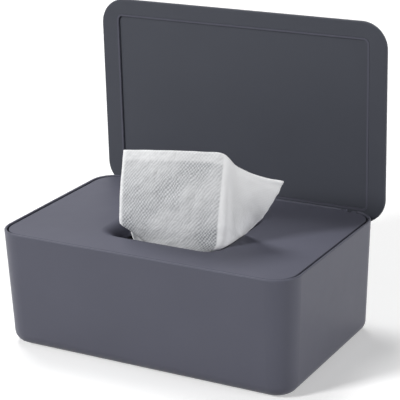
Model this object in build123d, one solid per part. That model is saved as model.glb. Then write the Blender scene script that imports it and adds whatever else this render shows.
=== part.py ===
from build123d import *
from math import atan, cos, degrees, radians, tan
import os

# Table-top box for folded wipes: a drafted tub, a lift-off cover with a rolled
# dispensing opening, and a flat lid hinged at the back of the cover.
# Millimetres. +X to the right, +Y to the back, +Z up. The lid is modelled open and
# upright. Everything is drawn about the tub's middle and moved forward at the end,
# so that the origin is the middle of the open box's footprint on the table.

# ---- driving dimensions: tub
TUB_WIDTH = 190.0          # across the rim, left to right
TUB_DEPTH = 121.0          # across the rim, front to back
RIM_HEIGHT = 71.2          # from the table to the top of the rim
SIDE_LEAN = 2.7            # each side is this much further in at the bottom
CORNER_RADIUS = 15.4       # upright corners, outside
BOTTOM_ROUND = 7.0         # round between the sides and the underside
WALL = 1.6
FLOOR = 2.4
INNER_BOTTOM_ROUND = 5.0
RIM_CHAMFER = 0.5          # both edges of the rim
UNDERSIDE_BORDER = 34.0    # from the rim's outline in to the raised middle of the underside
UNDERSIDE_RAISE = 0.5
UNDERSIDE_CORNER = 8.0

# ---- driving dimensions: feet
FOOT_DIAMETER = 12.0
FOOT_POCKET = 0.7          # depth of the pocket that each foot is glued into
FOOT_PROUD = 0.6           # how far each foot stands out of the underside
FOOT_INSET = 24.0          # from the rim's outline to each foot's centre
FOOT_FIT = 0.15            # around each foot in its pocket

# ---- driving dimensions: cover
COVER_DROP = 0.4           # from the rim down to the top of the cover
COVER_GAP = 1.0            # all round, between the cover and the tub's wall at the rim
COVER_SKIN = 2.0
COVER_EDGE_CHAMFER = 0.4
SKIRT_WALL = 1.6
RIB_Y = 17.0               # stiffening ribs under the cover, from its middle
RIB_WIDTH = 1.2
RIB_DEPTH = 3.5
SUPPORT_WIDTH = 2.4        # ribs in the tub that the skirt stands on
SUPPORT_LAP = 0.6          # how far each rib reaches in past the skirt
SUPPORT_X = 48.0           # ribs on the front and back walls
SUPPORT_Y = 22.0           # ribs on the side walls

# ---- driving dimensions: dispensing opening
OPENING_WIDTH = 67.0       # clear, between the straight walls of the throat
OPENING_DEPTH = 61.0
OPENING_CORNER = 6.0
ROLL_RADIUS = 8.0          # from the cover's face down into the throat
THROAT_LIP = 1.8           # straight length under the roll
THROAT_WALL = 1.6

# ---- driving dimensions: lid
LID_OVERHANG = 0.65        # past the rim, on every side
LID_THICKNESS = 3.0
LID_REST_GAP = 0.4         # between the rim and the closed lid
LID_EDGE_ROUND = 1.2
LID_INNER_CHAMFER = 0.5
LID_SIDE_BAND = 10.6       # raised band along the sides of the lid's inner face
LID_FRONT_BAND = 9.3
LID_BACK_BAND = 7.6
LID_RECESS = 1.0           # how far the middle lies back from the band
LID_RECESS_CORNER = 4.0
SEAL_WIDTH = 1.2
SEAL_GROOVE = 0.6          # depth of its groove under the middle of the lid
SEAL_PROUD = 0.15          # past the raised band
SEAL_FIT = 0.1             # each side, in the groove

# ---- driving dimensions: hinge
HINGE_DROP = 8.0           # from the closed lid's inner face down to the axis
HINGE_FROM_BACK = 1.6      # from the back of the rim forward to the axis
HINGE_FROM_SIDE = 18.5     # from the side of the rim in to the middle of each lid arm
ARM_WIDTH = 2.8
ARM_RADIUS = 1.8
ARM_CLEARANCE = 0.3        # each side, and in front, in the slot
STOP_CLEARANCE = 0.1       # under the open arm
STOP_FLOOR = 1.6           # the ledge that stops the arm
EAR_THICKNESS = 3.2
NOTCH_CLEARANCE = 0.4      # between the hinge block and the notch in the tub
PIN_DIAMETER = 1.6
PIN_RUNNING_FIT = 0.05     # radial, in the arm
PIN_COVERED = 0.6          # solid wall left at each pin's inner end
PIN_END_GAP = 0.3          # each pin ends this far inside the block's outer face
NUB_WIDTH = 2.6
NUB_HEIGHT = 0.6

# ---- driving dimensions: wipes
STACK_WIDTH = 160.0
STACK_DEPTH = 98.0
STACK_HEIGHT = 35.0
STACK_ROUND = 2.5
NEXT_WIPE_THICKNESS = 1.5
NEXT_WIPE_INSET = 3.0
SOFT_CLEARANCE = 0.35
WIPE_THICKNESS = 0.9       # of the folded sheet
WIPE_RISE = 54.8           # from the cover's face to the highest point, at the crease
WIPE_LEFT_X = -24.0        # top left corner
WIPE_LEFT_DROP = 5.5       # top left corner, under the highest point
WIPE_LEFT_FLARE = 5.2      # the lower left corner lies this much further left
WIPE_LEFT_FOOT = 4.6       # lower left corner, over the cover's face
WIPE_CREASE_X = 37.0
WIPE_CREASE_FOOT = 0.5     # foot of the crease, over the cover's face
CREASE_RADIUS = 2.5
FLAP_TURN = 37.0           # degrees that the flap turns back from the front
FLAP_REACH = 35.6          # from the crease to the tip, along the flap
FLAP_TIP_DROP = 18.2       # tip, under the highest point
FLAP_HOLLOW = 3.4          # how far the flap's upper edge sags
FLAP_BELLY = 4.2           # how far the flap's lower edge swings out
NECK_WIDTH = 24.0          # the gathered part in the throat
NECK_BELLY = 1.2           # bow of the front in the throat
FACE_BELLY = 3.5           # bow of the front at the top
TAIL_WIDTH = 46.0          # the folded end that lies on the pile
TAIL_DEPTH = 34.0
TAIL_THICKNESS = 3.0

# ---- places worked out from the driving dimensions
TUB_BOTTOM = FOOT_PROUD
FLOOR_TOP = TUB_BOTTOM + FLOOR
COVER_TOP = RIM_HEIGHT - COVER_DROP
LID_FACE_CLOSED = RIM_HEIGHT + LID_REST_GAP
HINGE_X = TUB_WIDTH / 2 - HINGE_FROM_SIDE
AXIS_Y = TUB_DEPTH / 2 - HINGE_FROM_BACK
AXIS_Z = LID_FACE_CLOSED - HINGE_DROP
SLOT_HALF = ARM_WIDTH / 2 + ARM_CLEARANCE
BLOCK_HALF = SLOT_HALF + EAR_THICKNESS
SLOT_FLOOR = AXIS_Z - ARM_RADIUS - STOP_CLEARANCE
SKIRT_BOTTOM = SLOT_FLOOR - STOP_FLOOR
SLOT_FRONT = AXIS_Y - ARM_RADIUS - ARM_CLEARANCE
BLOCK_FRONT = SLOT_FRONT - SKIRT_WALL
BLOCK_BACK = TUB_DEPTH / 2 - 0.1
NOTCH_FLOOR = SKIRT_BOTTOM - NOTCH_CLEARANCE
COVER_INSET = WALL + COVER_GAP
SKIRT_INSET = COVER_INSET + SKIRT_WALL
SUPPORT_INSET = SKIRT_INSET + SUPPORT_LAP
LID_WIDTH = TUB_WIDTH + 2 * LID_OVERHANG
LID_DEPTH = TUB_DEPTH + 2 * LID_OVERHANG
OPEN_LID_BACK = AXIS_Y + HINGE_DROP + LID_THICKNESS
MIDDLE_SHIFT = (OPEN_LID_BACK - TUB_DEPTH / 2) / 2


def lean(z):
    """How far the tub's sides have come in at height z."""
    return SIDE_LEAN * (RIM_HEIGHT - z) / (RIM_HEIGHT - TUB_BOTTOM)


def outline(inset, z, radius=None):
    """The tub's plan outline at the rim, moved in by inset and laid at height z."""
    corner = max(CORNER_RADIUS - inset, 1.0) if radius is None else radius
    return Pos(0, 0, z) * RectangleRounded(
        TUB_WIDTH - 2 * inset, TUB_DEPTH - 2 * inset, corner
    )


def leaning_prism(inset, low, high):
    """A solid whose sides lie inset inside the tub's leaning outside."""
    draft = degrees(atan(SIDE_LEAN / (RIM_HEIGHT - TUB_BOTTOM)))
    upside_down = extrude(outline(inset + lean(high), 0), high - low, taper=draft)
    return Pos(0, 0, high) * Rot(180, 0, 0) * upside_down


def edges_at(shape, z):
    return shape.edges().filter_by_position(Axis.Z, z - 0.01, z + 0.01)


def block(x_low, x_high, y_low, y_high, z_low, z_high):
    centre = ((x_low + x_high) / 2, (y_low + y_high) / 2, (z_low + z_high) / 2)
    return Pos(*centre) * Box(x_high - x_low, y_high - y_low, z_high - z_low)


def rod(x_low, x_high, radius):
    """A round bar along X on the hinge axis."""
    bar = Cylinder(radius, x_high - x_low, rotation=(0, 90, 0))
    return Pos((x_low + x_high) / 2, AXIS_Y, AXIS_Z) * bar


def both_sides(part):
    return [part, mirror(part, about=Plane.YZ)]


# ---- tub
def foot_places():
    x = TUB_WIDTH / 2 - FOOT_INSET
    y = TUB_DEPTH / 2 - FOOT_INSET
    return {
        "foot_front_left": (-x, -y),
        "foot_front_right": (x, -y),
        "foot_rear_left": (-x, y),
        "foot_rear_right": (x, y),
    }


def make_tub():
    outside = leaning_prism(0, TUB_BOTTOM, RIM_HEIGHT)
    outside = fillet(edges_at(outside, TUB_BOTTOM), BOTTOM_ROUND)
    inside = leaning_prism(WALL, FLOOR_TOP, RIM_HEIGHT)
    inside = fillet(edges_at(inside, FLOOR_TOP), INNER_BOTTOM_ROUND)
    tub = outside - inside
    tub = chamfer(edges_at(tub, RIM_HEIGHT), min(RIM_CHAMFER, 0.4 * WALL))

    # ribs that the cover's skirt stands on
    half = SUPPORT_WIDTH / 2
    low = FLOOR_TOP - FLOOR / 2
    reach_x = TUB_WIDTH / 2 - SUPPORT_INSET
    reach_y = TUB_DEPTH / 2 - SUPPORT_INSET
    for side in (-1, 1):
        for x in (-SUPPORT_X, SUPPORT_X):
            y_ends = sorted((side * reach_y, side * (TUB_DEPTH / 2)))
            rib = block(x - half, x + half, *y_ends, low, SKIRT_BOTTOM)
            tub += rib & outside
        for y in (-SUPPORT_Y, SUPPORT_Y):
            x_ends = sorted((side * reach_x, side * (TUB_WIDTH / 2)))
            rib = block(*x_ends, y - half, y + half, low, SKIRT_BOTTOM)
            tub += rib & outside

    # notches in the back wall for the hinge blocks
    notch_half = BLOCK_HALF + NOTCH_CLEARANCE
    notch = block(
        HINGE_X - notch_half,
        HINGE_X + notch_half,
        TUB_DEPTH / 2 - COVER_INSET,
        TUB_DEPTH / 2 + WALL,
        NOTCH_FLOOR,
        RIM_HEIGHT + WALL,
    )
    for cut in both_sides(notch):
        tub -= cut

    # underside: raised middle and a pocket for each foot
    raised = outline(UNDERSIDE_BORDER, TUB_BOTTOM, UNDERSIDE_CORNER)
    tub -= extrude(raised, UNDERSIDE_RAISE)
    pocket_radius = FOOT_DIAMETER / 2 + FOOT_FIT
    for x, y in foot_places().values():
        pocket = Cylinder(pocket_radius, FOOT_POCKET)
        tub -= Pos(x, y, TUB_BOTTOM + FOOT_POCKET / 2) * pocket
    return tub


def make_foot(x, y):
    height = FOOT_PROUD + FOOT_POCKET
    foot = Pos(x, y, height / 2) * Cylinder(FOOT_DIAMETER / 2, height)
    return chamfer(edges_at(foot, 0), FOOT_PROUD / 2)


# ---- cover
def opening(grow, z):
    """The dispensing opening's outline, grown all round and laid at height z."""
    return Pos(0, 0, z) * RectangleRounded(
        OPENING_WIDTH + 2 * grow, OPENING_DEPTH + 2 * grow, OPENING_CORNER + grow
    )


def rolled_throat():
    """The wall that rolls from the cover's face down into the opening."""
    path = opening(0, COVER_TOP).wire()
    outward = (path % 0).cross(Vector(0, 0, 1))
    if outward.dot(path @ 0) < 0:
        outward = -outward
    section = Plane(path @ 0, x_dir=outward, z_dir=outward.cross(Vector(0, 0, 1)))
    roll = ROLL_RADIUS
    lip = roll + THROAT_LIP
    hidden_turn = roll - (roll - THROAT_WALL) * cos(radians(45))
    hidden_side = Polyline(
        (roll, 0),
        (roll, -THROAT_WALL),
        (hidden_turn, -hidden_turn),
        (THROAT_WALL, -roll),
        (THROAT_WALL, -lip),
        (0, -lip),
        (0, -roll),
    )
    profile = [RadiusArc((0, -roll), (roll, 0), roll), hidden_side]
    return sweep(section * make_face(profile), path=path)


def nub():
    """The small swelling on top of the inner ear, highest beside the slot."""
    ear_edge = HINGE_X - BLOCK_HALF
    slot_edge = HINGE_X - SLOT_HALF
    bottom = COVER_TOP - COVER_EDGE_CHAMFER
    profile = [
        ThreePointArc(
            (ear_edge, COVER_TOP),
            ((ear_edge + slot_edge) / 2, COVER_TOP + NUB_HEIGHT * 0.75),
            (slot_edge, COVER_TOP + NUB_HEIGHT),
        ),
        Line((slot_edge, COVER_TOP + NUB_HEIGHT), (slot_edge, bottom)),
        Line((slot_edge, bottom), (ear_edge, bottom)),
        Line((ear_edge, bottom), (ear_edge, COVER_TOP)),
    ]
    face = Plane.XZ * make_face(profile)
    return Pos(0, AXIS_Y, 0) * extrude(face, NUB_WIDTH / 2, both=True)


def hinge_block():
    """The block behind the cover's skirt that holds a pin at both ends."""
    body = block(
        HINGE_X - BLOCK_HALF,
        HINGE_X + BLOCK_HALF,
        BLOCK_FRONT,
        BLOCK_BACK,
        SKIRT_BOTTOM,
        COVER_TOP,
    )
    return body + nub()


def hinge_slot():
    """What the arm and the pin take out of the cover."""
    slot = block(
        HINGE_X - SLOT_HALF,
        HINGE_X + SLOT_HALF,
        SLOT_FRONT,
        TUB_DEPTH / 2 + WALL,
        SLOT_FLOOR,
        RIM_HEIGHT + WALL,
    )
    pin_start = HINGE_X - BLOCK_HALF + PIN_COVERED
    bore = rod(pin_start, HINGE_X + BLOCK_HALF + WALL, PIN_DIAMETER / 2)
    return slot + bore


def make_cover():
    plate = extrude(outline(COVER_INSET, COVER_TOP), -COVER_SKIN)
    plate = chamfer(edges_at(plate, COVER_TOP), COVER_EDGE_CHAMFER)
    underside = COVER_TOP - COVER_SKIN
    skirt_depth = underside - SKIRT_BOTTOM
    skirt = extrude(
        outline(COVER_INSET, SKIRT_BOTTOM) - outline(SKIRT_INSET, SKIRT_BOTTOM),
        skirt_depth,
    )
    cover = plate + skirt
    rib_reach = OPENING_WIDTH / 2 + THROAT_WALL / 2
    for side in (-1, 1):
        for y in (-RIB_Y, RIB_Y):
            x_ends = sorted((side * rib_reach, side * (TUB_WIDTH / 2 - SKIRT_INSET)))
            cover += block(
                *x_ends,
                y - RIB_WIDTH / 2,
                y + RIB_WIDTH / 2,
                underside - RIB_DEPTH,
                underside,
            )
    cover -= extrude(opening(ROLL_RADIUS, SKIRT_BOTTOM), RIM_HEIGHT - SKIRT_BOTTOM)
    cover += rolled_throat()
    for side in both_sides(hinge_block()):
        cover += side
    for side in both_sides(hinge_slot()):
        cover -= side
    return cover


def make_pin():
    start = HINGE_X - BLOCK_HALF + PIN_COVERED
    return rod(start, HINGE_X + BLOCK_HALF - PIN_END_GAP, PIN_DIAMETER / 2)


# ---- lid, drawn closed and then turned up about the hinge axis
def recess_outline(inset, z):
    """The recess in the lid's inner face, moved in by inset and laid at height z."""
    width = LID_WIDTH - 2 * LID_SIDE_BAND
    depth = LID_DEPTH - LID_FRONT_BAND - LID_BACK_BAND
    middle_y = (LID_FRONT_BAND - LID_BACK_BAND) / 2
    corner = max(LID_RECESS_CORNER - inset, 0.5)
    return Pos(0, middle_y, z) * RectangleRounded(
        width - 2 * inset, depth - 2 * inset, corner
    )


def lid_arm():
    stem = block(
        HINGE_X - ARM_WIDTH / 2,
        HINGE_X + ARM_WIDTH / 2,
        AXIS_Y - ARM_RADIUS,
        AXIS_Y + ARM_RADIUS,
        AXIS_Z,
        LID_FACE_CLOSED + LID_THICKNESS / 3,
    )
    knuckle = rod(HINGE_X - ARM_WIDTH / 2, HINGE_X + ARM_WIDTH / 2, ARM_RADIUS)
    return stem + knuckle


def make_lid():
    corner = CORNER_RADIUS + LID_OVERHANG
    plate = RectangleRounded(LID_WIDTH, LID_DEPTH, corner)
    lid = extrude(Pos(0, 0, LID_FACE_CLOSED) * plate, LID_THICKNESS)
    lid = fillet(edges_at(lid, LID_FACE_CLOSED + LID_THICKNESS), LID_EDGE_ROUND)
    lid = chamfer(edges_at(lid, LID_FACE_CLOSED), LID_INNER_CHAMFER)
    lid -= extrude(recess_outline(0, LID_FACE_CLOSED), LID_RECESS)
    groove = recess_outline(0, LID_FACE_CLOSED)
    groove -= recess_outline(SEAL_WIDTH + 2 * SEAL_FIT, LID_FACE_CLOSED)
    lid -= extrude(groove, LID_RECESS + SEAL_GROOVE)
    bore_radius = PIN_DIAMETER / 2 + PIN_RUNNING_FIT
    bore = rod(HINGE_X - BLOCK_HALF, HINGE_X + BLOCK_HALF, bore_radius)
    for arm in both_sides(lid_arm() - bore):
        lid += arm
    return lid


def make_seal():
    low = LID_FACE_CLOSED - SEAL_PROUD
    ring = recess_outline(SEAL_FIT, low) - recess_outline(SEAL_FIT + SEAL_WIDTH, low)
    return extrude(ring, SEAL_PROUD + LID_RECESS + SEAL_GROOVE)


def opened(part):
    return part.rotate(Axis((0, AXIS_Y, AXIS_Z), (1, 0, 0)), -90)


# ---- wipes
def make_stack():
    stack = Pos(0, 0, FLOOR_TOP) * RectangleRounded(STACK_WIDTH, STACK_DEPTH, STACK_ROUND)
    return extrude(stack, STACK_HEIGHT)


def make_next_wipe():
    low = FLOOR_TOP + STACK_HEIGHT
    shape = Pos(0, 0, low) * RectangleRounded(
        STACK_WIDTH - 2 * NEXT_WIPE_INSET,
        STACK_DEPTH - 2 * NEXT_WIPE_INSET,
        STACK_ROUND,
    )
    return extrude(shape, NEXT_WIPE_THICKNESS)


def bow_point(start, end, depth):
    """The middle of an arc from start to end that bows out to the right by depth."""
    a = Vector(*start)
    b = Vector(*end)
    along = (b - a).normalized()
    middle = (a + b) / 2 + Vector(along.Y, -along.X) * depth
    return (middle.X, middle.Y)


def wipe_section(z, belly):
    """The folded sheet cut level at height z: a bowed front, the crease and the flap."""
    half = WIPE_THICKNESS / 2
    face_y = SOFT_CLEARANCE + half + NECK_BELLY - OPENING_DEPTH / 2
    left = WIPE_LEFT_X - WIPE_LEFT_FLARE - SOFT_CLEARANCE
    along = Vector(1, 0).rotate(Axis.Z, FLAP_TURN)
    across = Vector(0, half).rotate(Axis.Z, FLAP_TURN)
    mitre = Vector(-half * tan(radians(FLAP_TURN / 2)), half)
    crease = Vector(WIPE_CREASE_X, face_y)
    tip = crease + along * (FLAP_REACH + half)
    middle = (left + WIPE_CREASE_X) / 2
    sides = []
    for side in (-1, 1):
        bow = ThreePointArc(
            (left, face_y + side * half),
            (middle, face_y - belly + side * half),
            crease + mitre * side,
        )
        sides.append((bow, Line(crease + mitre * side, tip + across * side)))
    (front_bow, front_flap), (back_bow, back_flap) = sides
    ends = [Line(front_bow @ 0, back_bow @ 0), Line(front_flap @ 1, back_flap @ 1)]
    face = make_face([front_bow, front_flap, back_bow, back_flap, *ends])
    corners = face.vertices().sort_by_distance((crease.X, crease.Y, 0))[:2]
    return Pos(0, 0, z) * fillet(corners, CREASE_RADIUS)


def wipe_outline():
    """The standing part of the sheet as seen from the front, with its gathered neck."""
    top = COVER_TOP + WIPE_RISE
    neck_right = OPENING_WIDTH / 2 - OPENING_CORNER
    neck_left = neck_right - NECK_WIDTH
    neck_top = COVER_TOP - ROLL_RADIUS / 2
    foot = COVER_TOP + WIPE_CREASE_FOOT
    tip_x = WIPE_CREASE_X + FLAP_REACH * cos(radians(FLAP_TURN))
    top_left = (WIPE_LEFT_X, top - WIPE_LEFT_DROP)
    low_left = (WIPE_LEFT_X - WIPE_LEFT_FLARE, COVER_TOP + WIPE_LEFT_FOOT)
    crease_top = (WIPE_CREASE_X, top)
    crease_foot = (WIPE_CREASE_X, foot)
    tip = (tip_x, top - FLAP_TIP_DROP)
    neck_bottom = tail_top() - TAIL_THICKNESS / 2
    edges = [
        Line(top_left, low_left),
        Line(low_left, (neck_left, neck_top)),
        Line((neck_left, neck_top), (neck_left, neck_bottom)),
        Line((neck_left, neck_bottom), (neck_right, neck_bottom)),
        Line((neck_right, neck_bottom), (neck_right, neck_top)),
        Line((neck_right, neck_top), crease_foot),
        ThreePointArc(crease_foot, bow_point(crease_foot, tip, FLAP_BELLY), tip),
        ThreePointArc(tip, bow_point(tip, crease_top, -FLAP_HOLLOW), crease_top),
        Line(crease_top, top_left),
    ]
    return Plane.XZ * make_face(edges)


def tail_bottom():
    return FLOOR_TOP + STACK_HEIGHT + NEXT_WIPE_THICKNESS + SOFT_CLEARANCE


def tail_top():
    return tail_bottom() + TAIL_THICKNESS


def make_pulled_wipe():
    heights = (tail_bottom(), COVER_TOP, COVER_TOP + WIPE_RISE)
    bellies = (NECK_BELLY, NECK_BELLY, FACE_BELLY)
    sheet = loft([wipe_section(z, b) for z, b in zip(heights, bellies)], ruled=True)
    sheet = sheet & extrude(wipe_outline(), TUB_DEPTH / 2, both=True)
    tail_x = OPENING_WIDTH / 2 - 2 * SOFT_CLEARANCE - TAIL_WIDTH / 2
    tail_y = TAIL_DEPTH / 2 + 2 * SOFT_CLEARANCE - OPENING_DEPTH / 2
    tail = Pos(tail_x, tail_y, tail_bottom()) * RectangleRounded(
        TAIL_WIDTH, TAIL_DEPTH, OPENING_CORNER
    )
    return sheet + extrude(tail, TAIL_THICKNESS)


def make_parts():
    parts = {"box_tub": make_tub()}
    for name, (x, y) in foot_places().items():
        parts[name] = make_foot(x, y)
    parts["cover_panel"] = make_cover()
    parts["hinge_pin_right"], parts["hinge_pin_left"] = both_sides(make_pin())
    parts["lid_shell"] = opened(make_lid())
    parts["lid_seal"] = opened(make_seal())
    parts["wipe_stack"] = make_stack()
    parts["next_wipe"] = make_next_wipe()
    parts["pulled_wipe"] = make_pulled_wipe()
    return {node: Pos(0, -MIDDLE_SHIFT, 0) * part for node, part in parts.items()}


os.makedirs("parts", exist_ok=True)
for node, part in make_parts().items():
    export_step(part, f"parts/{node}.step")
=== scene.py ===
import math

import bmesh
import bpy
import mathutils.noise
from mathutils import Matrix, Vector


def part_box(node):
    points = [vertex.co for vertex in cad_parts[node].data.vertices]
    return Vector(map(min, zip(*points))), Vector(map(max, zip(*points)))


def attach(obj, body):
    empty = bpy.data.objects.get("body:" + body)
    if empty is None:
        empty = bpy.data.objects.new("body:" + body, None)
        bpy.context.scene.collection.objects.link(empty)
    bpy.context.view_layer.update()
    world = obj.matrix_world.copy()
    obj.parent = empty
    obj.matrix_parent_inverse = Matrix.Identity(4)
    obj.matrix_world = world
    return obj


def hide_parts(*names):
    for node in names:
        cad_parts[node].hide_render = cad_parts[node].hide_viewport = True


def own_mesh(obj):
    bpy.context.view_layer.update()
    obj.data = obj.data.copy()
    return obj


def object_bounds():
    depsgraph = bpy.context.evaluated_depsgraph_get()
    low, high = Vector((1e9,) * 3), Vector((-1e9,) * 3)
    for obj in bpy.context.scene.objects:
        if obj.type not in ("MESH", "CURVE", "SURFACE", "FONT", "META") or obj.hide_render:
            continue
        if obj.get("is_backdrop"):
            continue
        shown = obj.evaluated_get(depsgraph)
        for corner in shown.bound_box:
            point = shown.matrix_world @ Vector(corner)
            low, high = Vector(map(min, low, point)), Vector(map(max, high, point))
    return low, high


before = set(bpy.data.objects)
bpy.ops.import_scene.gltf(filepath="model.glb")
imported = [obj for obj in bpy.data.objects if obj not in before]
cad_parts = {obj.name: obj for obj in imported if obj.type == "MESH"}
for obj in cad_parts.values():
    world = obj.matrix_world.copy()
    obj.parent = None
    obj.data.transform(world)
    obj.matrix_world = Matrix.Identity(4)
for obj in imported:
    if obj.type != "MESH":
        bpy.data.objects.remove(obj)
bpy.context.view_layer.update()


# The tub: one injection moulding in slate grey polypropylene. The mould is spark
# eroded, so the walls have a very fine satin grain, a little uneven from the flow.
SLATE = (0.102, 0.104, 0.136)
GRAIN_SIZE = 0.00035       # of the eroded skin, metres
FLOW_SIZE = 0.035          # of the faint clouds that the flow left
TOUCH_SIZE = 0.012         # of the marks of handling


class Field:
    """A socket of one material. Sums and products of fields add its Math nodes."""

    def __init__(self, tree, socket=None):
        self.tree = tree
        self.socket = socket

    def node(self, kind, settings=None, inputs=None, output=0):
        """Adds a node, sets its settings, then gives its inputs values or fields."""
        made = self.tree.nodes.new(kind)
        for name, value in (settings or {}).items():
            setattr(made, name, value)
        for name, value in (inputs or {}).items():
            if isinstance(value, Field):
                self.tree.links.new(value.socket, made.inputs[name])
            else:
                made.inputs[name].default_value = value
        return Field(self.tree, made.outputs[output])

    def maths(self, operation, *terms):
        return self.node("ShaderNodeMath", {"operation": operation}, dict(enumerate(terms)))

    def __add__(self, other):
        return self.maths("ADD", self, other)

    __radd__ = __add__

    def __sub__(self, other):
        return self.maths("SUBTRACT", self, other)

    def __rsub__(self, other):
        return self.maths("SUBTRACT", other, self)

    def __mul__(self, other):
        return self.maths("MULTIPLY", self, other)

    __rmul__ = __mul__


def new_material(name):
    """A material with one surface shader, its place field and that shader."""
    material = bpy.data.materials.new(name)
    material.use_nodes = True
    tree = material.node_tree
    place = Field(tree).node("ShaderNodeTexCoord", output="Object")
    return material, place, tree.nodes["Principled BSDF"]


def connect(shader, name, field):
    field.tree.links.new(field.socket, shader.inputs[name])


def noise(place, size, detail=2.0, roughness=0.5):
    """Noise from 0 to 1 whose features are about size metres across."""
    return place.node(
        "ShaderNodeTexNoise",
        inputs={"Vector": place, "Scale": 1 / size, "Detail": detail, "Roughness": roughness},
    )


def mixed(first, second, factor):
    """A colour between two colours, each of them three numbers or a field."""
    ends = [end if isinstance(end, Field) else (*end, 1.0) for end in (first, second)]
    return factor.node(
        "ShaderNodeMix", {"data_type": "RGBA"}, {0: factor, 6: ends[0], 7: ends[1]}, output=2
    )


def bumped(height, strength, depth):
    """The normal of a skin that stands up by height, at most depth metres."""
    return height.node(
        "ShaderNodeBump", inputs={"Strength": strength, "Distance": depth, "Height": height}
    )


def shade(colour, share):
    """The same colour, made darker or paler."""
    return tuple(channel * share for channel in colour)


def satin_moulding(name, colour, roughness, shine):
    """A satin moulding: fine eroded grain, faint flow and handling marks, little shine."""
    material, place, shader = new_material(name)
    grain = noise(place, GRAIN_SIZE, detail=3.0)
    flow = noise(place, FLOW_SIZE, detail=3.0)
    touch = noise(place, TOUCH_SIZE, detail=4.0, roughness=0.6)
    clouded = mixed(shade(colour, 0.90), shade(colour, 1.10), flow * 0.6 + grain * 0.4)
    connect(shader, "Base Color", clouded)
    connect(shader, "Roughness", roughness + (touch - 0.5) * 0.10 + (grain - 0.5) * 0.08)
    connect(shader, "Normal", bumped(grain, strength=0.12, depth=0.00006))
    shader.inputs["Specular IOR Level"].default_value = shine
    return material


def give_finish(node, material):
    """Gives one of the model's solids its surface."""
    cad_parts[node].material_slots[0].material = material


tub_plastic = satin_moulding("tub_plastic", shade(SLATE, 0.94), roughness=0.40, shine=0.22)
give_finish("box_tub", tub_plastic)


# The feet: four soft dark pads, pressed from rubber and a little dusty. Each is
# glued in a shallow pocket under the tub.
RUBBER_DARK = (0.030, 0.030, 0.033)
RUBBER_DUSTY = (0.055, 0.055, 0.057)


def pressed_rubber(name):
    material, place, shader = new_material(name)
    dust = noise(place, 0.004, detail=4.0, roughness=0.65)
    connect(shader, "Base Color", mixed(RUBBER_DARK, RUBBER_DUSTY, dust))
    connect(shader, "Roughness", 0.7 + (dust - 0.5) * 0.2)
    connect(shader, "Normal", bumped(noise(place, 0.0004), strength=0.2, depth=0.00005))
    return material


foot_rubber = pressed_rubber("pad_rubber")
for row in ("front", "rear"):
    for side in ("left", "right"):
        give_finish(f"foot_{row}_{side}", foot_rubber)


# The cover: a shallow tray of the same plastic, turned over, with a rolled opening
# for the wipe. Its grain is duller than the tub's, and it lifts out for refilling.
cover_plastic = satin_moulding("cover_plastic", SLATE, roughness=0.52, shine=0.13)
give_finish("cover_panel", cover_plastic)


# The lid: a flat moulding of the same plastic, painted darker than the tub as painted shade,
# since its inner face gets less light. It has a raised band round its inner face and two arms,
# whose bored ends turn on the hinge pins.
SHADED_LID_SLATE = (0.060, 0.064, 0.079)
lid_plastic = satin_moulding("lid_plastic", SHADED_LID_SLATE, roughness=0.50, shine=0.16)
give_finish("lid_shell", lid_plastic)


# The seal: a soft ring of slate grey silicone, moulded in one piece and pressed in
# the groove round the lid's inner face.
silicone = satin_moulding("slate_silicone", shade(SLATE, 0.75), roughness=0.6, shine=0.2)
give_finish("lid_seal", silicone)


# The hinge pins: two plain lengths of drawn steel wire, with fine marks along them.
# Each is pushed through the cover's hinge block and the lid's arm.
STEEL_DARK = (0.42, 0.42, 0.43)
STEEL_PALE = (0.62, 0.62, 0.62)


def drawn_steel(name):
    material, place, shader = new_material(name)
    stretched = place.node(
        "ShaderNodeMapping", inputs={"Vector": place, "Scale": (0.05, 1.0, 1.0)}
    )
    scratches = noise(stretched, 0.0002, detail=3.0)
    connect(shader, "Base Color", mixed(STEEL_DARK, STEEL_PALE, scratches))
    connect(shader, "Roughness", 0.22 + scratches * 0.2)
    shader.inputs["Metallic"].default_value = 1.0
    return material


pin_steel = drawn_steel("drawn_steel")
for side in ("left", "right"):
    give_finish(f"hinge_pin_{side}", pin_steel)


# The standing wipe: one sheet of white embossed nonwoven, cut 196 by 160 mm and
# folded in half, with the fold at the left. Its face stands against the front of
# the opening, turns back at a crease, and its tail lies folded on the pile.
MM = 0.001
WIPE_ACROSS = 98.0         # of the folded sheet; this shape is drawn in millimetres
WIPE_DOWN = 160.0
LAYER_GAP = 0.8            # between the two layers
CLOTH_THICK = 0.22
WIPE_COLUMNS, WIPE_ROWS = 150, 130
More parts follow.
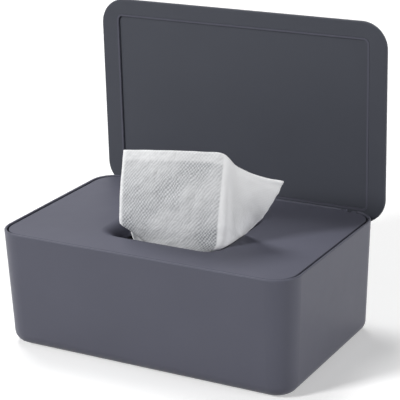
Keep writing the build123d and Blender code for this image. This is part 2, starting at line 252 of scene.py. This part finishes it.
# guide lines across the sheet, by how far down it they lie; each has its points
# from the fold to the free edge, at the shares of its width that ACROSS gives, in
# millimetres from the middle of the tub
ACROSS = (0.0, 0.18, 0.35, 0.52, 0.60, 0.64, 0.70, 0.85, 1.0)
GUIDES = {
    0: ((-24.9, -27.0, 120.0), (-5.1, -29.8, 123.2), (12.2, -30.6, 125.4),
        (29.5, -29.6, 126.6), (37.0, -28.4, 126.6), (41.0, -26.6, 125.0),
        (45.2, -22.5, 118.3), (54.8, -15.0, 111.7), (66.2, -7.0, 107.8)),
    20: ((-27.6, -27.5, 99.5), (-7.6, -30.3, 102.5), (10.5, -31.2, 104.8),
         (28.3, -30.2, 106.2), (36.4, -29.3, 106.4), (40.2, -27.8, 106.0),
         (43.0, -23.3, 104.3), (49.8, -16.3, 98.2), (55.3, -8.0, 88.3)),
    40: ((-29.2, -28.0, 78.2), (-9.7, -29.5, 79.8), (8.5, -30.2, 81.3),
         (26.4, -29.8, 83.1), (35.0, -29.4, 83.7), (38.9, -28.1, 83.7),
         (41.0, -24.2, 83.0), (42.8, -17.0, 79.3), (40.0, -3.0, 72.3)),
    45: ((-28.7, -28.0, 73.6), (-10.3, -29.2, 74.8), (8.0, -30.0, 76.3),
         (26.4, -29.7, 78.2), (34.8, -29.1, 78.7), (38.5, -27.7, 78.8),
         (40.2, -23.4, 78.3), (41.4, -15.0, 75.4), (37.6, -2.0, 70.3)),
    52: ((-27.8, -28.0, 66.8), (-10.7, -28.6, 68.2), (7.0, -30.0, 69.4),
         (26.3, -30.0, 71.5), (34.0, -28.9, 72.2), (37.4, -27.1, 72.3),
         (38.6, -22.5, 72.1), (38.2, -12.0, 71.2), (34.4, 0.0, 66.5)),
    60: ((-26.2, -27.0, 59.4), (-10.0, -28.6, 60.6), (6.0, -29.4, 61.8),
         (22.5, -29.8, 64.2), (29.4, -28.6, 66.2), (32.6, -25.6, 66.7),
         (33.4, -20.5, 66.5), (33.0, -9.0, 63.5), (32.0, 1.5, 59.5)),
    72: ((-24.0, -24.0, 50.0), (-11.0, -26.5, 51.0), (4.0, -28.0, 51.5),
         (18.5, -28.6, 52.0), (25.0, -27.0, 52.4), (28.2, -23.5, 52.5),
         (29.6, -19.0, 52.5), (30.4, -9.0, 52.0), (30.0, 1.5, 50.5)),
}
guide_downs = sorted(GUIDES)
guide_lines = [[Vector(point) for point in GUIDES[down]] for down in guide_downs]


def passing(stops, knots, t):
    """A point of the smooth curve that passes through the knots at their stops."""
    last = len(stops) - 1
    i = max(k for k in range(last) if k == 0 or stops[k] <= t)

    def slope(k):
        before, after = max(k - 1, 0), min(k + 1, last)
        return (knots[after] - knots[before]) / (stops[after] - stops[before])

    span = stops[i + 1] - stops[i]
    f = (t - stops[i]) / span
    return (
        knots[i] * (1 + 2 * f) * (1 - f) ** 2
        + slope(i) * span * f * (1 - f) ** 2
        + knots[i + 1] * f * f * (3 - 2 * f)
        + slope(i + 1) * span * f * f * (f - 1)
    )


# the tail lies to and fro over the pile, gathered in small waves across it
TAIL_FRONT, TAIL_BACK = -27.0, 2.0
TAIL_LEFT, TAIL_WIDTH = -27.0, 56.0
TAIL_LOW, TAIL_STEP = 43.4, 2.1
TAIL_WAVE, TAIL_WAVES = 2.3, 5
TAIL_BLEND = 12.0          # over which the last guide line turns into the tail


def tail_place(across, down):
    """Where the folded tail lies: to and fro, with runs and waves a little uneven."""
    run_length = TAIL_BACK - TAIL_FRONT
    run, part = divmod((down - guide_downs[-1]) / run_length, 1.0)
    ease = part - 0.06 * math.sin(2 * math.pi * part)
    x = TAIL_LEFT + TAIL_WIDTH * across + 0.8 * math.sin(down * 0.21 + across * 4)
    y = TAIL_FRONT + run_length * (ease if run % 2 == 0 else 1 - ease)
    z = TAIL_LOW + TAIL_STEP * (run + part**3)
    lift = TAIL_WAVE * math.sin(2 * math.pi * TAIL_WAVES * across + 0.5 * math.sin(down * 0.1))
    return Vector((x, y + 1.2 * math.sin(across * 7.0), z + lift))


# the sheet stands off the rolled wall of the opening in the cover
OPENING_HALF = (33.5, 30.5)
OPENING_CORNER = 6.0
ROLL = 8.0
COVER_FACE = 70.8
CLEAR = 0.9


def clear_of_cover(place):
    """Moves a point in from the rolled wall of the opening."""
    if place.z > COVER_FACE + CLEAR:
        return place
    x_out = abs(place.x) - OPENING_HALF[0] + OPENING_CORNER
    y_out = abs(place.y) - OPENING_HALF[1] + OPENING_CORNER
    past = Vector((max(x_out, 0), max(y_out, 0)))
    outside = past.length + min(max(x_out, y_out), 0) - OPENING_CORNER
    up = min(max(place.z - (COVER_FACE - ROLL), 0), ROLL)
    allowed = ROLL - math.sqrt(ROLL * ROLL - up * up) - CLEAR
    if outside <= allowed or past.length == 0:
        return place
    inward = past.normalized() * (outside - allowed)
    x = place.x - math.copysign(inward.x, place.x)
    y = place.y - math.copysign(inward.y, place.y)
    return Vector((x, y, place.z))


# the lower left corner is bent sharply back into the opening below a slanting fold
TUCK_TOP = 43.0            # where the bend meets the folded edge, down the sheet
TUCK_SLOPE = 52.0          # how much further down it lies per whole width across
TUCK_WIDTH = 0.34          # of the bent corner, as a share of the sheet's
TUCK_LENGTH = 9.0          # down the sheet, over which it bends
TUCK_BACK, TUCK_UP = 8.0, 4.6
TUCK_FADE, TUCK_END = 64.0, 84.0   # down the sheet, where the tuck dies out
RUMPLE, FINE_RUMPLE = 0.5, 0.25    # of the face, to the front and back
TOP_WAVE, TOP_WAVE_DEPTH = 0.5, 8.0
FREE_WAVE = 0.9            # of the flap's cut edge
FREE_FROM = 0.8            # where that wave begins, as a share of the width
FREE_FADE, FREE_END = 46.0, 58.0   # down the sheet, where it dies out


def share_of(value, low, high):
    """How far value lies from low to high, from 0 to 1."""
    return min(max((value - low) / (high - low), 0), 1)


def uneven(*place):
    """Smooth noise between -1 and 1, the same each time at the same place."""
    return mathutils.noise.noise(Vector(place))


def sheet_place(across, down):
    """Where the folded sheet's middle lies, in millimetres from the tub's middle."""
    if down > guide_downs[-1]:
        blend = share_of(down, guide_downs[-1], guide_downs[-1] + TAIL_BLEND)
        low = passing(ACROSS, guide_lines[-1], across)
        place = low.lerp(tail_place(across, down), blend * blend * (3 - 2 * blend))
    else:
        line = [passing(ACROSS, guide, across) for guide in guide_lines]
        place = passing(guide_downs, line, down)
    bend = TUCK_TOP + TUCK_SLOPE * across
    tuck = share_of(down, bend, bend + TUCK_LENGTH) * share_of(down, TUCK_END, TUCK_FADE)
    tuck *= max(1 - across / TUCK_WIDTH, 0)
    place = place + Vector((0, TUCK_BACK * tuck, TUCK_UP * tuck))
    rumple = Vector((across * 4.5, down / 21.0, 3.0))
    place.y += RUMPLE * uneven(*rumple) + FINE_RUMPLE * uneven(*rumple * 3.1)
    at_top = max(1 - down / TOP_WAVE_DEPTH, 0) ** 2
    place.z += TOP_WAVE * at_top * uneven(across * 9.0, 1.0, 5.0)
    at_free_edge = share_of(across, FREE_FROM, 1) ** 2 * share_of(down, FREE_END, FREE_FADE)
    free_wave = FREE_WAVE * at_free_edge * uneven(down / 4.5, 8.0, 2.0)
    place += Vector((1.0, 0, 0.6)) * free_wave
    return clear_of_cover(place)


def cut_sheet(columns, rows, width, length):
    """A flat grid one unit each way, with its place on the cut sheet, in metres, as UV."""
    shape = bmesh.new()
    uv = shape.loops.layers.uv.new("sheet")
    bmesh.ops.create_grid(shape, x_segments=columns, y_segments=rows, size=0.5)
    for face in shape.faces:
        for loop in face.loops:
            flat = loop.vert.co
            loop[uv].uv = (flat.x * width, (0.5 - flat.y) * length)
    return shape


STEP_ACROSS, STEP_DOWN = 0.004, 0.4    # to each side, to find the way the sheet faces


def standing_sheet():
    """The sheet folded in half: the grid's middle is the fold, and its sides the layers."""
    shape = cut_sheet(WIPE_COLUMNS, WIPE_ROWS, 2 * WIPE_ACROSS * MM, WIPE_DOWN * MM)
    for vertex in shape.verts:
        side, across = math.copysign(1, vertex.co.x), abs(vertex.co.x) * 2
        down = (0.5 - vertex.co.y) * WIPE_DOWN
        right = min(across + STEP_ACROSS, 1.0)
        below = min(down + STEP_DOWN, WIPE_DOWN)
        run = sheet_place(right, down) - sheet_place(right - 2 * STEP_ACROSS, down)
        drop = sheet_place(across, below) - sheet_place(across, below - 2 * STEP_DOWN)
        front = drop.cross(run).normalized()
        to_fold = 1 - share_of(across * WIPE_ACROSS, 0, LAYER_GAP)
        apart = math.sqrt(1 - to_fold**2) * LAYER_GAP / 2
        vertex.co = sheet_place(across, down) + front * side * apart
    return shape


def cloth_piece(name, shape, material, thick):
    """Makes a piece of cloth from a shape in metres, with a real thickness."""
    bmesh.ops.recalc_face_normals(shape, faces=shape.faces)
    mesh = bpy.data.meshes.new(name)
    shape.to_mesh(mesh)
    shape.free()
    mesh.materials.append(material)
    mesh.shade_smooth()
    piece = bpy.data.objects.new(name, mesh)
    bpy.context.scene.collection.objects.link(piece)
    cloth = piece.modifiers.new("cloth", "SOLIDIFY")
    cloth.thickness = thick
    cloth.offset = 0.0
    return piece


def ramped(field, low, high):
    """0 below low, 1 above high, and smooth between them."""
    return field.node(
        "ShaderNodeMapRange",
        {"interpolation_type": "SMOOTHSTEP"},
        {"Value": field, "From Min": low, "From Max": high},
    )


def wave(phase):
    """A wave from 0 to 1 that repeats each time phase grows by one."""
    return phase.maths("SINE", phase * (2 * math.pi)) * 0.5 + 0.5


# the cloth's own sizes are in metres, as its shader works on the cut sheet
EMBOSS_PITCH = 0.00150
EMBOSS_TURN = math.radians(50)
PATCH_SIZE = 0.030         # of the patches where crossed lines look like dots
SLACK_SIZE = 0.006         # over which the lines wander
FIBRE_SIZE = 0.0014
CLOUD_SIZE = 0.016         # of the denser places in the pulp
DENT_SIZE = 0.018
PLAIN_BAND = 0.0055        # along the cut edge at the top
PLAIN_FOLD = 0.0030        # along the folded edge, plain white as a painted highlight on the rounded fold
# from CREASE_FROM to CREASE_TO the cloth is left plain white, a painted highlight where the sheet
# turns round the crease
CREASE_FROM, CREASE_TO = 0.0615, 0.0680
CREASE_SOFT = 0.0006
CREASE_LEAN = 0.050        # the crease line lies further left further down
LOW_SHADE_FROM, LOW_SHADE_TO = 0.034, 0.056  # down the sheet, where painted shade darkens it towards the opening
LOW_SHADE = 0.55
# PULP_SHADE is the dark end of the pulp's own tone and of the painted shade in the embossed
# grooves
PULP_SHADE = (0.20, 0.21, 0.225)
PULP_WHITE = (0.82, 0.83, 0.85)
PULP_PLAIN = (0.90, 0.905, 0.915)


def nonwoven(name, standing):
    """White wood pulp nonwoven: fibres, and fine embossed lines that cross."""
    material, place, shader = new_material(name)
    flat = place.node("ShaderNodeUVMap", {"uv_map": "sheet"})
    from_fold = flat.node("ShaderNodeSeparateXYZ", inputs={0: flat}, output="X")
    across = from_fold.maths("ABSOLUTE", from_fold)
    down = flat.node("ShaderNodeSeparateXYZ", inputs={0: flat}, output="Y")
    rising = across * (math.sin(EMBOSS_TURN) / EMBOSS_PITCH)
    falling = down * (math.cos(EMBOSS_TURN) / EMBOSS_PITCH)
    patch = ramped(noise(flat, PATCH_SIZE), 0.38, 0.60)
    slack = noise(flat, SLACK_SIZE) * 1.6
    cross_lines = wave(rising - falling + slack) * patch
    lines = wave(rising + falling + slack) * 0.62 + cross_lines * 0.38
    fibres = noise(flat, FIBRE_SIZE, detail=4.0, roughness=0.7)
    cloudy = noise(flat, CLOUD_SIZE, detail=3.0)
    to_crease = across + down * CREASE_LEAN
    on_crease = ramped(to_crease, CREASE_FROM - CREASE_SOFT, CREASE_FROM + CREASE_SOFT)
    before_crease = 1.0 - on_crease
    press = patch * 0.45 + 0.55
    # the embossed lines darken the colour as painted shade in their grooves; fibres and clouds are
    # the pulp's own uneven tone
    white = lines * 0.62 + fibres * 0.42 + cloudy * 0.42 - 0.19
    if standing:
        below_band = ramped(down, PLAIN_BAND * 0.8, PLAIN_BAND * 1.3)
        # painted highlight: the cloth is plain white along the folded edge, where the rounded fold
        # catches light
        inside_fold = ramped(across, 0.0007, PLAIN_FOLD)
        on_flap = ramped(to_crease, CREASE_TO, CREASE_TO + 0.006)
        # the plain strip at the crease is a painted highlight
        press = press * (below_band * 0.62 + 0.38) * inside_fold * (before_crease + on_flap * 0.14)
        # painted shade: darker down the sheet where it bends into the opening, most near the fold
        white = white - ramped(down, LOW_SHADE_FROM, LOW_SHADE_TO) * (1.25 - across * 14.0) * LOW_SHADE
    worked = mixed(PULP_SHADE, PULP_WHITE, white)
    connect(shader, "Base Color", mixed(PULP_PLAIN, worked, press))
    connect(shader, "Roughness", 0.86 + (fibres - 0.5) * 0.12)
    shader.inputs["Specular IOR Level"].default_value = 0.15
    dents = noise(flat, DENT_SIZE, detail=3.0, roughness=0.55)
    crumple = dents.maths("ABSOLUTE", dents - 0.5) * (before_crease * 0.7 + 0.3)
    relief = lines * press * 0.26 + fibres * 0.12 + cloudy * 0.3 + crumple * 5.0
    connect(shader, "Normal", bumped(relief, strength=0.7, depth=0.0009))
    return material


tub_low, tub_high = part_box("box_tub")
tub_middle = Vector(((tub_low.x + tub_high.x) / 2, (tub_low.y + tub_high.y) / 2, 0))
shape = standing_sheet()
bmesh.ops.scale(shape, vec=(MM, MM, MM), verts=shape.verts)
bmesh.ops.translate(shape, vec=tub_middle, verts=shape.verts)
wipe_cloth = nonwoven("standing_nonwoven", standing=True)
wipe = cloth_piece("standing_wipe", shape, wipe_cloth, CLOTH_THICK * MM)
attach(wipe, "wipe")
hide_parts("pulled_wipe")
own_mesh(wipe)


# The pile: wipes folded in half, laid one on the other with the folds in turn at
# the back and at the front. The top one is the next to be drawn up.
WIPES_IN_PILE = 23
PILED_THICK = 0.25         # of one layer of cloth in the pile, millimetres
PILE_COLUMNS, PILE_ROWS = 40, 56
PILE_WIDTH = 0.995         # of the wipes, as a share of the pile's box
LAYERS_APART = 0.8         # as a share of their even spacing in the box
RIPPLES, RIPPLE = 35, 0.2  # in a metre, and as a share of the fold's radius
EDGE_WAVES, EDGE_WAVE = 30, 0.0012
pile_cloth = nonwoven("piled_nonwoven", standing=False)


def folded_wipe(number, low, high, node):
    """One folded wipe in the box between two corners: two layers and a round fold."""
    width, depth, height = high - low
    radius = height / 4
    straight = depth - radius
    length = 2 * straight + math.pi * radius
    fold_at_back = number % 2 == 1
    middle = (low + high) / 2
    shape = cut_sheet(PILE_COLUMNS, PILE_ROWS, width, length)
    for vertex in shape.verts:
        x, run = vertex.co.x * width, (0.5 - vertex.co.y) * length
        if run < straight:
            y, z = run, -radius
        elif run > length - straight:
            y, z = length - run, radius
        else:
            angle = (run - straight) / radius
            y, z = straight + radius * math.sin(angle), -radius * math.cos(angle)
        y = low.y + y if fold_at_back else high.y - y
        ripple = RIPPLE * uneven(x * RIPPLES, y * RIPPLES, number * 1.7)
        cut_wave = EDGE_WAVE * abs(uneven(x * EDGE_WAVES, number * 5.3, math.copysign(2.0, z)))
        to_edge = 1 - min(run, length - run) / length * 2
        inset = cut_wave * to_edge * (1 if fold_at_back else -1)
        vertex.co = (
            middle.x + x * PILE_WIDTH,
            y + inset,
            middle.z + z * LAYERS_APART + radius * ripple,
        )
    piece = cloth_piece(f"folded_wipe_{number:02d}", shape, pile_cloth, PILED_THICK * MM)
    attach(piece, "box")
    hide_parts(node)


pile_low, pile_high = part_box("wipe_stack")
layer = (pile_high.z - pile_low.z) / WIPES_IN_PILE
for number in range(WIPES_IN_PILE):
    low = Vector((pile_low.x, pile_low.y, pile_low.z + number * layer))
    high = Vector((pile_high.x, pile_high.y, low.z + layer))
    folded_wipe(number + 1, low, high, "wipe_stack")
next_low, next_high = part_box("next_wipe")
folded_wipe(WIPES_IN_PILE + 1, next_low, next_high, "next_wipe")


# The floor and the light: a table that runs back out of sight, the key lamp low at
# the front left, one lamp high at the back left, one low at the right, and a little
# even light from the room. Where the camera looks, the table is made up to white.
TABLE_SIZE = 16.0
TABLE_DROP = 0.0001        # below the feet, so that the faces don't fight
TABLE_LIT = (0.40, 0.40, 0.40)
TABLE_SEEN = (0.80, 0.80, 0.80)
TABLE_MADE_UP = (0.38, 0.38, 0.38)
BLACK = (0.0, 0.0, 0.0)
ROOM_LIGHT = 0.06
LAMP_AWAY = 3.0
LAMP_AIM = Vector((0, 0, 0.07))


def looked_at(field):
    """1 where the camera looks, straight on or in a mirror or through glass."""
    camera = field.node("ShaderNodeLightPath", output="Is Camera Ray")
    mirror = field.node("ShaderNodeLightPath", output="Is Glossy Ray")
    glass = field.node("ShaderNodeLightPath", output="Is Transmission Ray")
    return field.maths("MAXIMUM", camera, field.maths("MAXIMUM", mirror, glass))


def lamp(name, turn, rise, size, watts):
    """A square soft lamp, turn degrees round from +X and rise degrees up."""
    turn, rise = math.radians(turn), math.radians(rise)
    flat = math.cos(rise)
    place = Vector((math.cos(turn) * flat, math.sin(turn) * flat, math.sin(rise))) * LAMP_AWAY
    data = bpy.data.lights.new(name, "AREA")
    data.shape = "SQUARE"
    data.size = size
    data.energy = watts
    holder = bpy.data.objects.new(name, data)
    bpy.context.scene.collection.objects.link(holder)
    aim = (LAMP_AIM - place).to_track_quat("-Z", "Y").to_matrix().to_4x4()
    holder.matrix_world = Matrix.Translation(place) @ aim


bpy.ops.mesh.primitive_plane_add(size=TABLE_SIZE, location=(0, 0, -TABLE_DROP))
table = bpy.context.object
table.name = "table_top"
material, place, shader = new_material("white_table")
seen = looked_at(place)
connect(shader, "Base Color", mixed(TABLE_LIT, TABLE_SEEN, seen))
connect(shader, "Emission Color", mixed(BLACK, TABLE_MADE_UP, seen))
connect(shader, "Roughness", 0.85 + noise(place, 0.3) * 0.1)
shader.inputs["Emission Strength"].default_value = 1.0
shader.inputs["Specular IOR Level"].default_value = 0.1
table.data.materials.append(material)
table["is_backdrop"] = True

world = bpy.data.worlds.new("room")
bpy.context.scene.world = world
world.use_nodes = True
room = world.node_tree.nodes["Background"]
room.inputs["Color"].default_value = (1.0, 1.0, 1.0, 1.0)
strength = looked_at(Field(world.node_tree)) * (1.0 - ROOM_LIGHT) + ROOM_LIGHT
world.node_tree.links.new(strength.socket, room.inputs["Strength"])

lamp("key_lamp", turn=236, rise=29, size=0.6, watts=76.0)
lamp("top_lamp", turn=138, rise=66, size=1.2, watts=50.0)
lamp("side_lamp", turn=0, rise=10, size=1.0, watts=47.0)


# The camera: at the photograph's place, a little above the box and to its right,
# solved from the tub's rim, its bottom edge and the lid's outline.
EYE = Vector((0.42945, -0.75249, 0.38387))
TURN_LEFT = math.radians(29.365)
LOOK_DOWN = math.radians(19.12)
TILT = math.radians(-1.496)
camera = bpy.data.objects.new("camera", bpy.data.cameras.new("camera"))
camera.data.sensor_width = 36.0
camera.data.lens = 141.56
camera.matrix_world = (
    Matrix.Translation(EYE)
    @ Matrix.Rotation(TURN_LEFT, 4, "Z")
    @ Matrix.Rotation(math.pi / 2 - LOOK_DOWN, 4, "X")
    @ Matrix.Rotation(TILT, 4, "Z")
)
bpy.context.scene.collection.objects.link(camera)
bpy.context.scene.camera = camera
bpy.context.scene.view_settings.view_transform = "Standard"

low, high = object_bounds()
